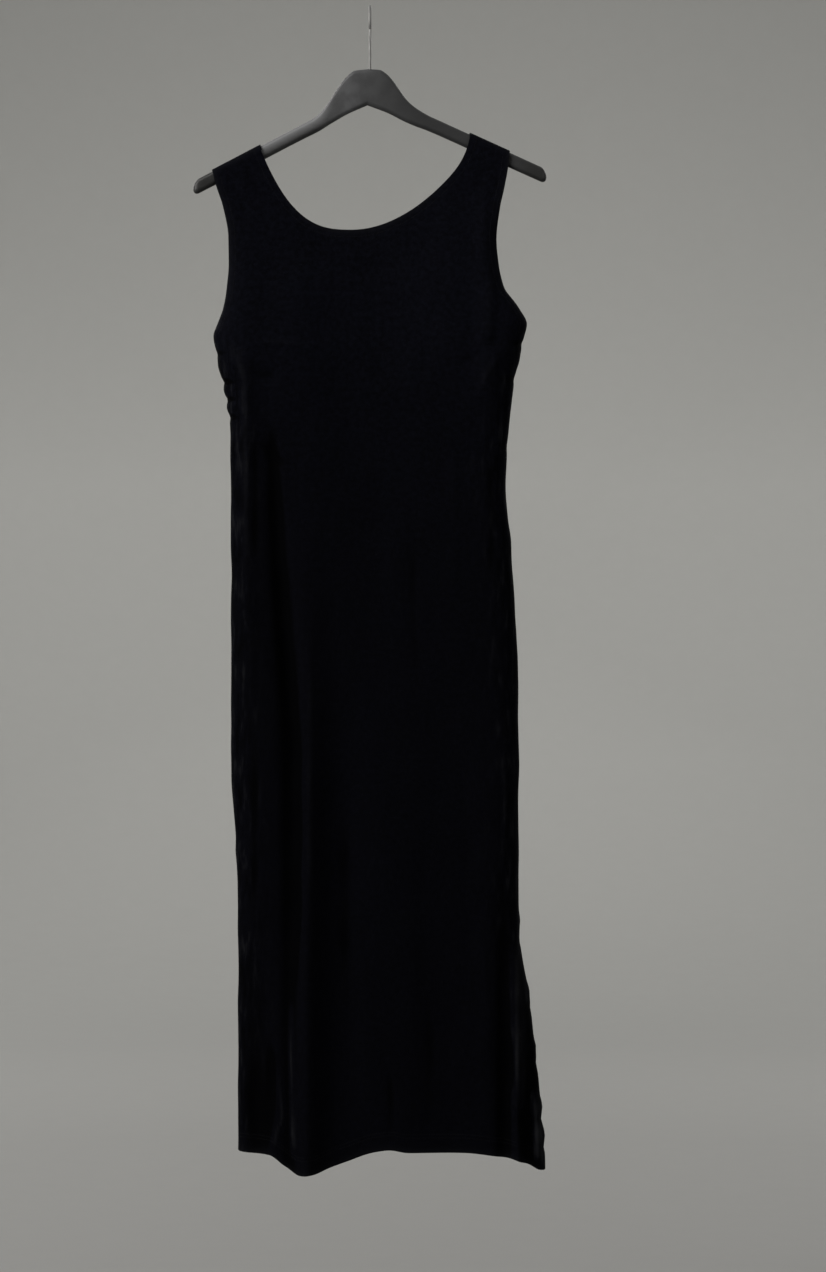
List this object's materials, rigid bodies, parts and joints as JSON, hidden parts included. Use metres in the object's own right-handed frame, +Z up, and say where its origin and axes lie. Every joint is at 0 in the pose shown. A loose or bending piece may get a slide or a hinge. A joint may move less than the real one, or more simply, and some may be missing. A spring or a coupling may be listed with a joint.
{
  "type": "maxi dress on hanger",
  "caption": "Sleeveless black maxi dress with scoop neck and cut-in armholes, hanging flat and empty on a dark grey contoured hanger with a steel hook.",
  "frame": {"origin": "underside of the hook's crown, where a rail or a wall peg carries the hanger", "axes": "+Z up, +Y out of the back of the dress, -Y out of its front, +X to the right as seen from the front, which is the wearer's left"},
  "size_m": [0.458, 0.0979, 1.5139],
  "materials": {
    "black_cloth": "matte black crepe with a faint blue cast",
    "hanger_grey": "charcoal grey with a satin sheen and fine grain",
    "hook_steel": "bright wire, lightly brushed"
  },
  "bodies": {
    "root": {"front": "black_cloth", "back": "black_cloth", "hanger_bar": "hanger_grey", "hanger_hook": "hook_steel"}
  },
  "joints": []
}
